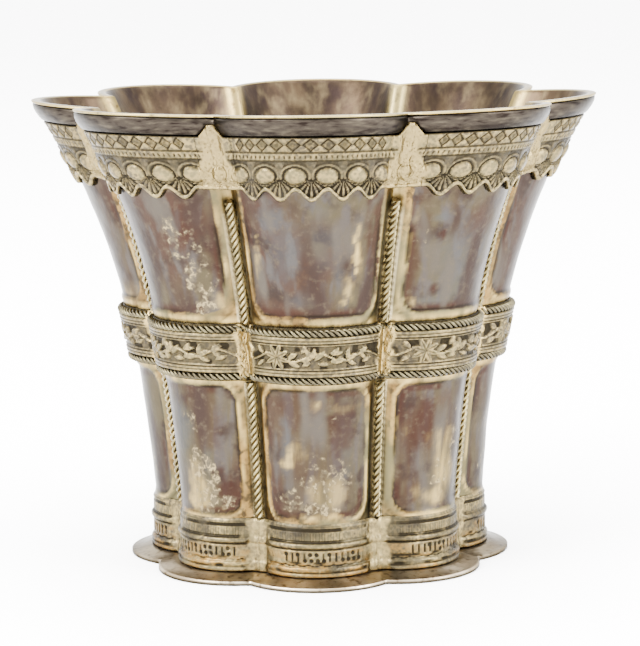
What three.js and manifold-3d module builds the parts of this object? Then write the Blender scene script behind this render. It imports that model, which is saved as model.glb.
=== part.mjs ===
// An eight-lobed drinking beaker of raised and soldered silver, in millimetres, +Z up.
// The origin is at the middle of the underside, and one lobe faces -Y.
// Every wall and band has the same plan: a ring of round lobes that meet in sharp valleys.

import * as THREE from 'three';
import { mergeVertices } from 'three/addons/utils/BufferGeometryUtils.js';
import Module from 'manifold-3d';

const wasm = await Module();
wasm.setup();

// Plan and wall. Tip is the middle of a lobe, valley is the crease between two lobes.
const lobeCount = 8;
const height = 100;
const wall = 1.0;
const floorThickness = 1.2;
const footTipRadius = 34.7;
const footValleyRadius = 28.9;
const rimTipRadius = 60.2;
const rimValleyRadius = 49.9;
const tipTaper = 8.1;
const valleyTaper = 8.9;
const flarePower = 3.23;
const rimDip = 0.7;
const seam = 0.3;

// Rolled lip, from the rim down
const lipEdge = 0.6;
const lipEdgeProud = 0.8;
const lipRoll = 3.6;
const lipRollProud = 1.5;

// Frieze under the lip, from its top edge down to its scalloped hem
const friezeDrop = 4.5;
const lozengeRow = 3.0;
const billetRow = 1.9;
const arcadeRow = 6.2;
const hemDepth = 2.2;
const hemBead = 1.1;
const hemBeadProud = 1.5;
const scallopsPerLobe = 5;
const friezeProud = 1.1;
const friezeStepProud = 1.5;
const ribHalfWidth = 5.7;
const ribFill = 1.5;
const discRadius = 2.1;
const discProud = 0.7;
const discDrop = 2.7;

// Belt round the waist
const beltMiddle = 49.3;
const beltHeight = 12.2;
const beltProud = 1.9;
const beltEdgeProud = 0.8;
const ropeWidth = 2.0;
const ropeGroove = 1.3;
const ropeGrooveWidth = 0.7;
const beltPinch = 0.7;
const flowerRadius = 2.4;
const flowerHollow = 1.0;
const flowerPetals = 5;
const flowerProud = 0.4;
const flowerShift = 8.0;

// Band round the base, from the foot plate up
const bandTipRadius = 36.6;
const bandValleyRadius = 31.2;
const bandHeight = 11.2;
const bandRoll = 0.5;
const bandRollHeight = 1.4;
const bandRollMiddle = 6.6;
const bandTopBead = 1.5;
const bandEdgeStep = 0.7;
const bandFill = 0.7;

// Foot plate
const flangeTipRadius = 41.5;
const flangeValleyRadius = 37.2;
const flangeEdge = 1.0;
const plateThickness = 1.9;
const plateSeatTipRadius = 37.7;
const plateSeatValleyRadius = 32.8;

// Twisted wires in the valleys
const wireDiameter = 1.9;
const wireSides = 4;
const wireStep = 3.9;
const wireTwist = Math.PI / 4;

// Facets
const stepsPerLobe = 8;
const stepsPerScallop = 2;
const wallLevels = 7;
const wallCrowding = 0.75;
const rollLevels = 3;
const discSides = 6;
const mergeDistance = 1e-3;

// Levels and angles that follow from the sizes above
const halfLobe = Math.PI / lobeCount;
const firstLobe = -Math.PI / 2;
const bottomZ = plateThickness + seam;
const floorZ = bottomZ + floorThickness;
const bandTopZ = bottomZ + bandHeight;
const beltBottomZ = beltMiddle - beltHeight / 2;
const beltTopZ = beltMiddle + beltHeight / 2;
const friezeTopZ = height - friezeDrop;
const billetTopZ = friezeTopZ - lozengeRow;
const arcadeTopZ = billetTopZ - billetRow;
const hemZ = arcadeTopZ - arcadeRow;
const lipZ = height - lipEdge - lipRoll;

function flare(footRadius, rimRadius, taper, z) {
  const share = z / height;
  return footRadius + taper * share + (rimRadius - footRadius - taper) * share ** flarePower;
}

const tipRadius = (z) => flare(footTipRadius, rimTipRadius, tipTaper, z);
const valleyRadius = (z) => flare(footValleyRadius, rimValleyRadius, valleyTaper, z);

// The valleys of the rim lie a little lower than the tips, and this fades out down to the belt.
function dip(z, acrossShare) {
  const rise = Math.max(0, z - beltTopZ) / (height - beltTopZ);
  return rimDip * rise ** 2 * acrossShare ** 2;
}

// One lobe in plan is an arc through two valleys and a tip. Growing it keeps the arc's centre.
// Grown arcs meet in a crease further out. Shrunk ones end one wall inside it, and a mitred ridge joins them.
function lobeArc({ tip, valley, grow = 0 }) {
  const halfWidth = valley * Math.sin(halfLobe);
  const sagitta = tip - valley * Math.cos(halfLobe);
  const arcRadius = (halfWidth ** 2 + sagitta ** 2) / (2 * sagitta);
  const centre = tip - arcRadius;
  const radius = arcRadius + grow;
  if (grow < 0) {
    const halfAngle = Math.atan2(halfWidth, valley * Math.cos(halfLobe) - centre);
    const opening = Math.PI / 2 + halfLobe - halfAngle;
    return { centre, radius, halfAngle, crease: valley + grow / Math.sin(opening) };
  }
  const crease = centre * Math.cos(halfLobe) + Math.sqrt(radius ** 2 - (centre * Math.sin(halfLobe)) ** 2);
  const halfAngle = Math.atan2(crease * Math.sin(halfLobe), crease * Math.cos(halfLobe) - centre);
  return { centre, radius, halfAngle, crease };
}

// Rings of a profile: on the wall's own plan, standing proud of it, or plumb.
// Fill brings a crease further out.
const onWall = (z, grow = 0) => ({ z, tip: tipRadius(z), valley: valleyRadius(z), grow });
const proud = (z, out, fill = 0) => ({ ...onWall(z, out), fill });
const plumb = (z, out) => ({ z, tip: bandTipRadius + out, valley: bandValleyRadius + out, fill: bandFill });
const onAxis = (z) => ({ z, tip: 0 });

// Shares run from -1 at one valley of a lobe to 1 at the next. The scallops stop short of the ribs.
const hemArc = lobeArc(onWall(hemZ));
const ornamentReach = 1 - ribHalfWidth / (hemArc.radius * hemArc.halfAngle);
const evenShares = (steps, reach = 1) =>
  Array.from({ length: steps }, (_, step) => reach * ((2 * step) / steps - 1));
const lobeShares = evenShares(stepsPerLobe);
const scallopShares = [-1, ...evenShares(scallopsPerLobe * stepsPerScallop, ornamentReach), ornamentReach];

function lobePoint(ring, lobe, share) {
  const arc = lobeArc(ring);
  const swing = arc.halfAngle * share;
  const inValley = Math.abs(share) === 1;
  const valley = arc.crease + (ring.fill ?? 0);
  const along = inValley ? valley * Math.cos(halfLobe) : arc.centre + arc.radius * Math.cos(swing);
  const across = inValley ? valley * Math.sin(halfLobe) * share : arc.radius * Math.sin(swing);
  const scallop = (scallopsPerLobe * (share + ornamentReach)) / (2 * ornamentReach);
  const wave = Math.abs(share) < ornamentReach ? (1 - Math.cos(2 * Math.PI * scallop)) / 2 : 0;
  const z = ring.z - dip(ring.z, share) - (ring.scallop ?? 0) * wave;
  const angle = firstLobe + 2 * halfLobe * lobe;
  return new THREE.Vector3(along, across, z).applyAxisAngle(new THREE.Vector3(0, 0, 1), angle);
}

// A turned solid whose round sections are reshaped to the lobed plan, with a column at each share of a lobe
function lobedSolid(rings, shares) {
  const profile = rings.map((ring) => new THREE.Vector2(ring.tip, ring.z));
  const columns = lobeCount * shares.length;
  const geometry = new THREE.LatheGeometry(profile, columns);
  const place = geometry.getAttribute('position');
  for (let column = 0; column <= columns; column += 1) {
    const lobe = Math.floor(column / shares.length);
    const share = shares[column % shares.length];
    rings.forEach((ring, row) => {
      const axisPoint = new THREE.Vector3(0, 0, ring.z);
      const point = ring.tip === 0 ? axisPoint : lobePoint(ring, lobe, share);
      place.setXYZ(column * rings.length + row, point.x, point.y, point.z);
    });
  }
  return geometry;
}

function toSolid(geometry) {
  const bare = geometry.clone();
  bare.deleteAttribute('normal');
  bare.deleteAttribute('uv');
  const merged = mergeVertices(bare, mergeDistance);
  const triVerts = [];
  const index = merged.index.array;
  for (let start = 0; start < index.length; start += 3) {
    const [a, b, c] = index.subarray(start, start + 3);
    if (a !== b && b !== c && c !== a) triVerts.push(a, b, c);
  }
  const vertProperties = merged.getAttribute('position').array;
  const mesh = new wasm.Mesh({ numProp: 3, vertProperties, triVerts: new Uint32Array(triVerts) });
  return new wasm.Manifold(mesh);
}

function toGeometry(solid) {
  const mesh = solid.getMesh();
  const geometry = new THREE.BufferGeometry();
  geometry.setAttribute('position', new THREE.BufferAttribute(mesh.vertProperties, 3));
  geometry.setIndex(new THREE.BufferAttribute(mesh.triVerts, 1));
  geometry.computeVertexNormals();
  return geometry;
}

// A boss stands on a band at a place given by lobe, share and height, with its axis square to the plan.
function bossOnBand(geometry, ring, lobe, share, sink) {
  const arc = lobeArc(ring);
  const seat = lobePoint(ring, lobe, share);
  const facing = firstLobe + 2 * halfLobe * lobe + arc.halfAngle * share;
  const lean = Math.atan2(tipRadius(ring.z + 1) - tipRadius(ring.z - 1), 2);
  const out = new THREE.Vector3(Math.cos(lean), 0, -Math.sin(lean));
  const outward = out.applyAxisAngle(new THREE.Vector3(0, 0, 1), facing);
  const turn = new THREE.Quaternion().setFromUnitVectors(new THREE.Vector3(0, 0, 1), outward);
  geometry.applyQuaternion(turn);
  geometry.translate(...seat.addScaledVector(outward, -sink).toArray());
  return toSolid(geometry);
}

const sinkDepth = (bandProud) => (bandProud - seam) / 2;

function beakerShell() {
  const rings = [onAxis(bottomZ)];
  const levels = [];
  for (let level = 0; level <= wallLevels; level += 1) {
    levels.push(bottomZ + (lipZ - bottomZ) * (level / wallLevels) ** wallCrowding);
  }
  levels.forEach((z) => rings.push(onWall(z)));
  for (let level = 1; level <= rollLevels; level += 1) {
    const swing = (Math.PI * level) / (rollLevels + 1);
    const z = lipZ + (lipRoll * (1 - Math.cos(swing))) / 2;
    rings.push(onWall(z, lipRollProud * Math.sin(swing)));
  }
  rings.push(onWall(height - lipEdge, lipEdgeProud));
  rings.push(onWall(height, lipEdgeProud));
  rings.push(onWall(height, -wall));
  const innerLevels = levels.filter((z) => z > floorZ).reverse();
  innerLevels.forEach((z) => rings.push(onWall(z, -wall)));
  rings.push(onWall(floorZ, -wall));
  rings.push(onAxis(floorZ));
  return lobedSolid(rings, lobeShares);
}

function friezeBand() {
  const hem = { scallop: hemDepth };
  const rings = [
    { ...proud(hemZ, hemBeadProud, ribFill), ...hem },
    { ...proud(hemZ + hemBead, friezeProud, ribFill), ...hem },
    proud(arcadeTopZ, friezeProud, ribFill),
    proud(arcadeTopZ, friezeStepProud, ribFill),
    proud(billetTopZ, friezeStepProud, ribFill),
    proud(friezeTopZ, friezeProud, ribFill),
    onWall(friezeTopZ, seam),
    { ...onWall(hemZ, seam), ...hem },
    { ...proud(hemZ, hemBeadProud, ribFill), ...hem },
  ];
  let band = toSolid(lobedSolid(rings, scallopShares));
  const discZ = arcadeTopZ - discDrop;
  const discCount = scallopsPerLobe - 1;
  for (let lobe = 0; lobe < lobeCount; lobe += 1) {
    for (let disc = 1; disc <= discCount; disc += 1) {
      const share = ornamentReach * ((2 * disc) / scallopsPerLobe - 1);
      const sink = sinkDepth(friezeProud);
      const boss = new THREE.ConeGeometry(discRadius, sink + discProud, discSides);
      boss.rotateX(Math.PI / 2);
      boss.translate(0, 0, (sink + discProud) / 2);
      band = band.add(bossOnBand(boss, proud(discZ, friezeProud), lobe, share, sink));
    }
  }
  return toGeometry(band);
}

function flowerOutline() {
  const outline = new THREE.Shape();
  for (let point = 0; point < 2 * flowerPetals; point += 1) {
    const reach = point % 2 === 0 ? flowerRadius : flowerHollow;
    const angle = (Math.PI * point) / flowerPetals;
    const x = reach * Math.cos(angle);
    const y = reach * Math.sin(angle);
    if (point === 0) outline.moveTo(x, y);
    else outline.lineTo(x, y);
  }
  outline.closePath();
  return outline;
}

function waistBelt() {
  const ropeTop = ropeWidth + ropeGrooveWidth;
  const rings = [
    proud(beltBottomZ, beltEdgeProud, -beltPinch),
    proud(beltBottomZ + ropeWidth / 2, beltProud, -beltPinch),
    proud(beltBottomZ + ropeWidth, ropeGroove, -beltPinch),
    proud(beltBottomZ + ropeTop, beltProud, -beltPinch),
    proud(beltTopZ - ropeTop, beltProud, -beltPinch),
    proud(beltTopZ - ropeWidth, ropeGroove, -beltPinch),
    proud(beltTopZ - ropeWidth / 2, beltProud, -beltPinch),
    proud(beltTopZ, beltEdgeProud, -beltPinch),
    onWall(beltTopZ, seam),
    onWall(beltBottomZ, seam),
    proud(beltBottomZ, beltEdgeProud, -beltPinch),
  ];
  let band = toSolid(lobedSolid(rings, lobeShares));
  const sink = sinkDepth(beltProud);
  for (let lobe = 0; lobe < lobeCount; lobe += 1) {
    const depth = sink + flowerProud;
    const flower = new THREE.ExtrudeGeometry(flowerOutline(), { depth, bevelEnabled: false });
    const ring = proud(beltMiddle, beltProud);
    const share = -flowerShift / (lobeArc(ring).radius * lobeArc(ring).halfAngle);
    band = band.add(bossOnBand(flower, ring, lobe, share, sink));
  }
  return toGeometry(band);
}

function baseBand() {
  const upperRollZ = bottomZ + bandRollMiddle;
  const halfRoll = bandRollHeight / 2;
  const rings = [
    plumb(bottomZ, 0),
    plumb(bottomZ + bandRollHeight, bandRoll),
    plumb(bottomZ + bandRollHeight + halfRoll, 0),
    plumb(upperRollZ - halfRoll, 0),
    plumb(upperRollZ, bandRoll),
    plumb(upperRollZ + halfRoll, 0),
    plumb(bandTopZ - bandTopBead, 0),
    plumb(bandTopZ, -bandEdgeStep),
    onWall(bandTopZ, seam),
    onWall(bottomZ, seam),
    plumb(bottomZ, 0),
  ];
  return lobedSolid(rings, lobeShares);
}

function footPlate() {
  const rings = [
    onAxis(0),
    { z: 0, tip: flangeTipRadius, valley: flangeValleyRadius },
    { z: flangeEdge, tip: flangeTipRadius, valley: flangeValleyRadius },
    { z: plateThickness, tip: plateSeatTipRadius, valley: plateSeatValleyRadius },
    onAxis(plateThickness),
  ];
  return lobedSolid(rings, lobeShares);
}

// A square wire, twisted, that follows the valley of the wall from one height to another
function twistedWire(fromZ, toZ) {
  const steps = Math.max(2, Math.round((toZ - fromZ) / wireStep));
  const half = wireDiameter / 2;
  const geometry = new THREE.CylinderGeometry(half, half, 1, wireSides, steps);
  const place = geometry.getAttribute('position');
  for (let vertex = 0; vertex < place.count; vertex += 1) {
    const share = place.getY(vertex) + 0.5;
    const z = fromZ + (toZ - fromZ) * share;
    const twist = wireTwist * steps * share;
    const side = new THREE.Vector2(place.getX(vertex), place.getZ(vertex));
    side.rotateAround(new THREE.Vector2(), twist);
    const crease = lobeArc(onWall(z, half + seam)).crease;
    place.setXYZ(vertex, crease + side.y, side.x, z - dip(z, 1));
  }
  return geometry;
}

const silver = (color, roughness) => new THREE.MeshStandardMaterial({ color, roughness, metalness: 1 });
const group = new THREE.Group();

function addPiece(name, geometry, material) {
  const piece = new THREE.Mesh(geometry, material);
  piece.name = name;
  group.add(piece);
  return piece;
}

addPiece('beaker', beakerShell(), silver('#857168', 0.38));
addPiece('rim_frieze', friezeBand(), silver('#b5a98c', 0.45));
addPiece('waist_belt', waistBelt(), silver('#b8ab8d', 0.45));
addPiece('base_band', baseBand(), silver('#a89a80', 0.42));
addPiece('foot_plate', footPlate(), silver('#c2a878', 0.35));

for (let valley = 0; valley < lobeCount; valley += 1) {
  const angle = firstLobe + halfLobe + 2 * halfLobe * valley;
  const upperWire = twistedWire(beltTopZ + seam, hemZ - hemDepth - seam);
  const lowerWire = twistedWire(bandTopZ + seam, beltBottomZ - seam);
  addPiece(`upper_wire_${valley + 1}`, upperWire, silver('#c0b292', 0.4)).rotation.z = angle;
  addPiece(`lower_wire_${valley + 1}`, lowerWire, silver('#c0b292', 0.4)).rotation.z = angle;
}

export default group;
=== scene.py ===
# An eight-lobed silver beaker, tarnished on its panels and worn pale gold on its chased bands,
# on a pale floor. Sizes are in millimetres and are turned to metres when a mesh is made.
# Angles are in radians unless named otherwise.
import math
from functools import partial

import bpy
import numpy as np
from mathutils import Matrix, Vector


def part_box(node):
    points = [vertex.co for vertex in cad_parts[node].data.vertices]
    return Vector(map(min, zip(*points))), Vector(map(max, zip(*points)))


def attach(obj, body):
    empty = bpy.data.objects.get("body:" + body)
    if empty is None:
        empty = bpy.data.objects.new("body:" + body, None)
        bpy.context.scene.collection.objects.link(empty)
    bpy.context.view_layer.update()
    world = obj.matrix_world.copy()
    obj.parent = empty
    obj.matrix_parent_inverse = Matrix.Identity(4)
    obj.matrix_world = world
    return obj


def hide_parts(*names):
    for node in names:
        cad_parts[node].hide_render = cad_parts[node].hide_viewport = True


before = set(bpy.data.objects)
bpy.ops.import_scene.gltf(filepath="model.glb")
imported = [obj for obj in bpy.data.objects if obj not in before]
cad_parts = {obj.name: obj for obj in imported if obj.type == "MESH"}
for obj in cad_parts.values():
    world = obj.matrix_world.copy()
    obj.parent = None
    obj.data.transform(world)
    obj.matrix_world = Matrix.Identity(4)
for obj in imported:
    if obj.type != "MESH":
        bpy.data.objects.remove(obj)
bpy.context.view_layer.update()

MM = 0.001


def heights(node):
    """Lowest and highest point of a CAD node, in mm."""
    low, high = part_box(node)
    return low.z / MM, high.z / MM


# Heights that the frame gives
WALL_FOOT, RIM = heights("beaker")
FRIEZE_TOP = heights("rim_frieze")[1]
BELT_FOOT, BELT_TOP = heights("waist_belt")
BAND_FOOT, BAND_TOP = heights("base_band")
PLATE_TOP = heights("foot_plate")[1]
UPPER_WIRE = heights("upper_wire_1")
LOWER_WIRE = heights("lower_wire_1")

# Plan and wall
LOBES = 8
HALF_LOBE = math.pi / LOBES
FIRST_LOBE = -math.pi / 2
WALL = 1.0
FLOOR_THICKNESS = 1.2
FLOOR = WALL_FOOT + FLOOR_THICKNESS
FOOT_TIP, FOOT_VALLEY = 34.7, 28.9
RIM_TIP, RIM_VALLEY = 60.2, 49.9
TIP_TAPER, VALLEY_TAPER = 8.1, 8.9
FLARE_POWER = 3.23
RIM_DIP = 0.7
SEAM = 0.3

# Rolled lip
LIP_EDGE = 0.6
LIP_ROLL = 3.6
EDGE_FOOT = RIM - LIP_EDGE
LIP_FOOT = RIM - LIP_EDGE - LIP_ROLL
LIP_START = 0.04

# Shape of the roll: share of its height, mm that it stands out there
LIP_SHAPE = [0.0, 0.012, 0.2, 0.45, 0.7, 0.9, 1.0], [0.7, 1.2, 1.42, 1.5, 1.38, 1.08, 0.7]

# Shapes of the lip's edge, its top and the corner round the floor: mm above their foot, mm outwards
EDGE_SHAPE = [(0.0, 0.6), (0.02, 0.74), (0.12, 0.86), (0.35, 0.88)]
TOP_SHAPE = [(-0.08, 0.76), (0.0, 0.55), (0.0, 0.0), (0.0, -0.6), (-0.08, -0.86), (-0.3, -WALL)]
CORNER_SHAPE = [(1.6, 0.0), (0.7, -0.25), (0.2, -0.8), (0.0, -1.8)]

# Frieze rows from its top edge down
LOZENGE_ROW, BILLET_ROW, ARCADE_ROW = 3.0, 1.9, 6.2
LOZENGE_FOOT = FRIEZE_TOP - LOZENGE_ROW
ARCADE_TOP = LOZENGE_FOOT - BILLET_ROW
HEM = ARCADE_TOP - ARCADE_ROW
HEM_DEPTH = 2.2
SCALLOPS = 5
LOZENGES = 11
RIB_HALF_WIDTH = 5.7
RIB_NARROWING = 2.2
RIB_FILL = 1.5
RIB_SOFTENING = 1.1
RIB_PEAK = 2.6
FRIEZE_PROUD = 1.1

# Belt and its two ropes
BELT_MIDDLE = (BELT_FOOT + BELT_TOP) / 2
BELT_PROUD = 1.9
BELT_PINCH = 0.7
PINCH_WIDTH = 2.2
ROPE = 1.7
BELT_INSET = 2.75

# Base band
BAND_TIP, BAND_VALLEY = 36.6, 31.2
BAND_FILL = 0.7
BAND_SOFTENING = 0.45

# Foot plate
FLANGE_TIP, FLANGE_VALLEY, FLANGE_EDGE = 41.5, 37.2, 1.0
SEAT_TIP, SEAT_VALLEY = 37.7, 32.8

# Twisted wires
WIRE = 1.9
WIRE_LAY = 4.35
ROPE_LAY = 3.75
STRAND_MELD = 1.2

# Rows and columns of the meshes: columns to a lobe, mm between rows
VESSEL_COLUMNS, FRIEZE_COLUMNS, BELT_COLUMNS = 44, 198, 180
BAND_COLUMNS, PLATE_COLUMNS, ROPE_COLUMNS = 160, 48, 30
COARSE_ROWS, FINE_ROWS = 2.5, 0.6
FRIEZE_ROWS, BAND_ROWS = 0.24, 0.2
INSIDE_ROWS, DEEP_ROWS = 1.0, 3.0
DEEP_FROM = 40

# The camera, as the photograph was taken
VIEW_DISTANCE = 590.5
VIEW_HEIGHT = 138.5
VIEW_PITCH = math.radians(8.5)
VIEW_ROLL = math.radians(-0.8)
VIEW_YAW = math.radians(0.07)
VIEW_TURN = math.radians(0.71)
SENSOR = 36.0
LENS = 152.2


def smooth(low, high, value):
    """A soft step from 0 at low to 1 at high."""
    share = np.clip((value - low) / (high - low), 0, 1)
    return share * share * (3 - 2 * share)


def near(distance, width):
    """1 in the middle of a chased line of this width, falling to 0 at its sides."""
    return 1 - smooth(0.25 * width, 0.6 * width, np.abs(distance))


def between(low, high, value, soft=0.15):
    """1 from low to high with soft ends."""
    return smooth(low - soft, low + soft, value) * (1 - smooth(high - soft, high + soft, value))


def mottle(x, y, size, seed):
    """Smooth random values from 0 to 1 whose spots are about one size across."""
    lattice = np.random.default_rng(seed).random((256, 256))
    x, y = np.asarray(x) / size + 512.0, np.asarray(y) / size + 512.0
    column, row = np.floor(x).astype(int), np.floor(y).astype(int)
    a, b = x - column, y - row
    a, b = a * a * (3 - 2 * a), b * b * (3 - 2 * b)
    column, row = column % 256, row % 256
    right, up = (column + 1) % 256, (row + 1) % 256
    low = lattice[row, column] * (1 - a) + lattice[row, right] * a
    high = lattice[up, column] * (1 - a) + lattice[up, right] * a
    return low * (1 - b) + high * b


def uneven(x, y, size, seed, amount):
    """Smooth random values round 0, over a whole swing of this amount."""
    return (mottle(x, y, size, seed) - 0.5) * amount


def patches(low, high, x, y, size, seed):
    """Random patches with soft edges: 0 where the random value is under low, 1 where it is over high."""
    return smooth(low, high, mottle(x, y, size, seed))


def dome(share):
    """Height of a half round at a share of its half width: 1 in the middle, 0 from its sides on."""
    return np.sqrt(np.clip(1 - share**2, 0, 1))


# Plan of the wall. A share runs from -1 at one valley of a lobe to 1 at the next.


def flare(foot, rim, taper, z):
    """A radius that opens evenly from the foot, and ever faster towards the rim."""
    share = z / RIM
    return foot + taper * share + (rim - foot - taper) * share**FLARE_POWER


def wall_plan(z):
    """Radius of the wall at its tips and at its valleys, at a height."""
    tip = flare(FOOT_TIP, RIM_TIP, TIP_TAPER, z)
    valley = flare(FOOT_VALLEY, RIM_VALLEY, VALLEY_TAPER, z)
    return tip, valley


def lobe_arc(plan, grow):
    """Centre, radius, half angle and crease of the lobes' arcs, grown outwards or shrunk inwards."""
    tip, valley = plan
    half_width = valley * math.sin(HALF_LOBE)
    sagitta = tip - valley * math.cos(HALF_LOBE)
    base = (half_width**2 + sagitta**2) / (2 * sagitta)
    centre = tip - base
    radius = base + grow
    reach = np.sqrt(np.maximum(radius**2 - (centre * math.sin(HALF_LOBE)) ** 2, 0))
    crease = centre * math.cos(HALF_LOBE) + reach
    half = np.arctan2(crease * math.sin(HALF_LOBE), crease * math.cos(HALF_LOBE) - centre)
    bare_half = np.arctan2(half_width, valley * math.cos(HALF_LOBE) - centre)
    ridge = valley + grow / np.sin(math.pi / 2 + HALF_LOBE - bare_half)
    shrunk = np.asarray(grow) < 0
    return centre, radius, np.where(shrunk, bare_half, half), np.where(shrunk, ridge, crease)


def half_length(z):
    """Length along the wall from the middle of a lobe to its valley."""
    arc = lobe_arc(wall_plan(z), 0.0)
    return arc[1] * arc[2]


def lobed_points(columns, z, plan, grow, fill=0.0):
    """Points of one or more rings. Fill is how far a point is pushed out along its valley."""
    share, angle = columns
    centre, radius, half, crease = lobe_arc(plan, grow)
    swing = half * share
    side = np.where(share < 0, -1.0, 1.0)
    in_valley = np.abs(share) > 1 - 1e-9
    along = np.where(in_valley, crease * math.cos(HALF_LOBE), centre + radius * np.cos(swing))
    across = np.where(in_valley, crease * math.sin(HALF_LOBE) * side, radius * np.sin(swing))
    along = along + fill * math.cos(HALF_LOBE)
    across = across + fill * math.sin(HALF_LOBE) * side
    rise = np.maximum(0, z - BELT_TOP) / (RIM - BELT_TOP)
    dipped = z - RIM_DIP * rise**2 * share**2
    return np.stack(
        np.broadcast_arrays(
            along * np.cos(angle) - across * np.sin(angle),
            along * np.sin(angle) + across * np.cos(angle),
            dipped,
        ),
        axis=-1,
    )


def lobe_columns(per_lobe):
    """Share, direction and number of the lobe for each column of a ring."""
    index = np.arange(LOBES * per_lobe)
    lobe = index // per_lobe
    share = 2 * (index % per_lobe) / per_lobe - 1
    return (share, FIRST_LOBE + 2 * HALF_LOBE * lobe), lobe


def spaced(start, end, step):
    """Even heights from start to, and without, end."""
    count = max(1, round(abs(end - start) / step))
    return start + (end - start) * np.arange(count) / count


# Meshes


def put_in_scene(mesh, material, nodes):
    """A finished piece at the origin that rides on the body and stands for its CAD nodes."""
    piece = bpy.data.objects.new(mesh.name, mesh)
    bpy.context.scene.collection.objects.link(piece)
    mesh.materials.clear()
    mesh.materials.append(material)
    mesh.polygons.foreach_set("use_smooth", np.ones(len(mesh.polygons), bool))
    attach(piece, "root")
    if nodes:
        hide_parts(*nodes)


def ring_mesh(name, rings, closed, fields):
    """A mesh of quads through rings of points. It closes on its first ring, or with a fan at each end."""
    count, columns = rings.shape[:2]
    points = rings.reshape(-1, 3)
    row = np.arange(count if closed else count - 1)[:, None]
    column = np.arange(columns)[None, :]
    following = (column + 1) % columns
    above = (row + 1) % count
    corners = [
        row * columns + column,
        row * columns + following,
        above * columns + following,
        above * columns + column,
    ]
    faces = np.stack(corners, axis=-1).reshape(-1, 4).tolist()
    if not closed:
        low, high = len(points), len(points) + 1
        ends = [[0, 0, rings[0, 0, 2]], [0, 0, rings[-1, 0, 2]]]
        points = np.vstack([points, ends])
        top = (count - 1) * columns
        faces += [[low, (i + 1) % columns, i] for i in range(columns)]
        faces += [[high, top + i, top + (i + 1) % columns] for i in range(columns)]
    mesh = bpy.data.meshes.new(name)
    mesh.from_pydata((points * MM).tolist(), [], faces)
    for field, values in fields.items():
        values = np.broadcast_to(values, (count, columns)).ravel()
        if not closed:
            # Each centre point takes the value at the middle of a lobe, next to it
            middle = columns // (2 * LOBES)
            values = np.append(values, [values[middle], values[middle - columns]])
        layer = mesh.attributes.new(field, "FLOAT", "POINT")
        layer.data.foreach_set("value", values.astype(np.float32))
    mesh.update()
    return mesh


def make_band(name, node, material, front, back, fields):
    """An applied band: its chased front from the foot up, then the upper and lower ring of its back."""
    rings = np.concatenate([front, back])
    padded = {key: np.concatenate([values, values[-1:], values[:1]]) for key, values in fields.items()}
    put_in_scene(ring_mesh(name, rings, True, padded), material, [node])


# Nodes and colours

# Names of the nodes: kind, inputs in the order in which they are given, output, settings
NODES = {
    "place": ("ShaderNodeTexCoord", [], "Object", {}),
    "field": ("ShaderNodeAttribute", [], "Fac", {}),
    "stretch": ("ShaderNodeMapping", ["Vector", "Scale"], "Vector", {}),
    "noise": ("ShaderNodeTexNoise", ["Vector", "Scale", "Detail"], "Fac", {}),
    "pebbles": ("ShaderNodeTexVoronoi", ["Vector", "Scale"], "Distance", {"feature": "SMOOTH_F1"}),
    "range": ("ShaderNodeMapRange", ["Value", "To Min", "To Max"], "Result", {}),
    "step": (
        "ShaderNodeMapRange",
        ["Value", "From Min", "From Max"],
        "Result",
        {"interpolation_type": "SMOOTHSTEP"},
    ),
    "add": ("ShaderNodeMath", [0, 1], "Value", {"operation": "ADD"}),
    "subtract": ("ShaderNodeMath", [0, 1], "Value", {"operation": "SUBTRACT"}),
    "multiply": ("ShaderNodeMath", [0, 1], "Value", {"operation": "MULTIPLY"}),
    "divide": ("ShaderNodeMath", [0, 1], "Value", {"operation": "DIVIDE"}),
    "absolute": ("ShaderNodeMath", [0], "Value", {"operation": "ABSOLUTE"}),
    "blend": ("ShaderNodeMixRGB", ["Fac", "Color1", "Color2"], "Color", {}),
    "bump": ("ShaderNodeBump", ["Height", "Distance", "Strength"], "Normal", {}),
    "metal": (
        "ShaderNodeBsdfPrincipled",
        ["Base Color", "Metallic", "Roughness", "Specular Tint", "Normal"],
        "BSDF",
        {},
    ),
    "surface": ("ShaderNodeOutputMaterial", ["Surface"], "", {}),
    "mesh to curve": ("GeometryNodeMeshToCurve", ["Mesh"], "Curve", {}),
    "resample": ("GeometryNodeResampleCurve", ["Curve", "Length"], "Curve", {"mode": "LENGTH"}),
    "length along": ("GeometryNodeSplineParameter", [], "Length", {}),
    "tilt": ("GeometryNodeSetCurveTilt", ["Curve", "Tilt"], "Curve", {}),
    "ring of points": ("GeometryNodeMeshCircle", ["Vertices", "Radius"], "Mesh", {}),
    "circle": ("GeometryNodeCurvePrimitiveCircle", ["Resolution", "Radius"], "Curve", {}),
    "copies": ("GeometryNodeInstanceOnPoints", ["Points", "Instance"], "Instances", {}),
    "realize": ("GeometryNodeRealizeInstances", ["Geometry"], "Geometry", {}),
    "position": ("GeometryNodeInputPosition", [], "Position", {}),
    "distance": ("ShaderNodeVectorMath", [0], "Value", {"operation": "LENGTH"}),
    "store": (
        "GeometryNodeStoreNamedAttribute",
        ["Geometry", "Name", "Value"],
        "Geometry",
        {"data_type": "FLOAT", "domain": "POINT"},
    ),
    "sweep": ("GeometryNodeCurveToMesh", ["Curve", "Profile Curve", "Fill Caps"], "Mesh", {}),
    "set material": ("GeometryNodeSetMaterial", ["Geometry", "Material"], "Geometry", {}),
    "result": ("NodeGroupOutput", ["Geometry"], "", {}),
}


def add_node(tree, name, *given, **settings):
    """Adds a node and gives back its output. A value given is a constant or another node's output."""
    kind, inputs, output, usual = NODES[name]
    node = tree.nodes.new(kind)
    for setting, value in {**usual, **settings}.items():
        setattr(node, setting, value)
    for socket, value in zip(inputs, given):
        if isinstance(value, bpy.types.NodeSocket):
            tree.links.new(value, node.inputs[socket])
        else:
            node.inputs[socket].default_value = value
    return node.outputs.get(output)


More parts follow.
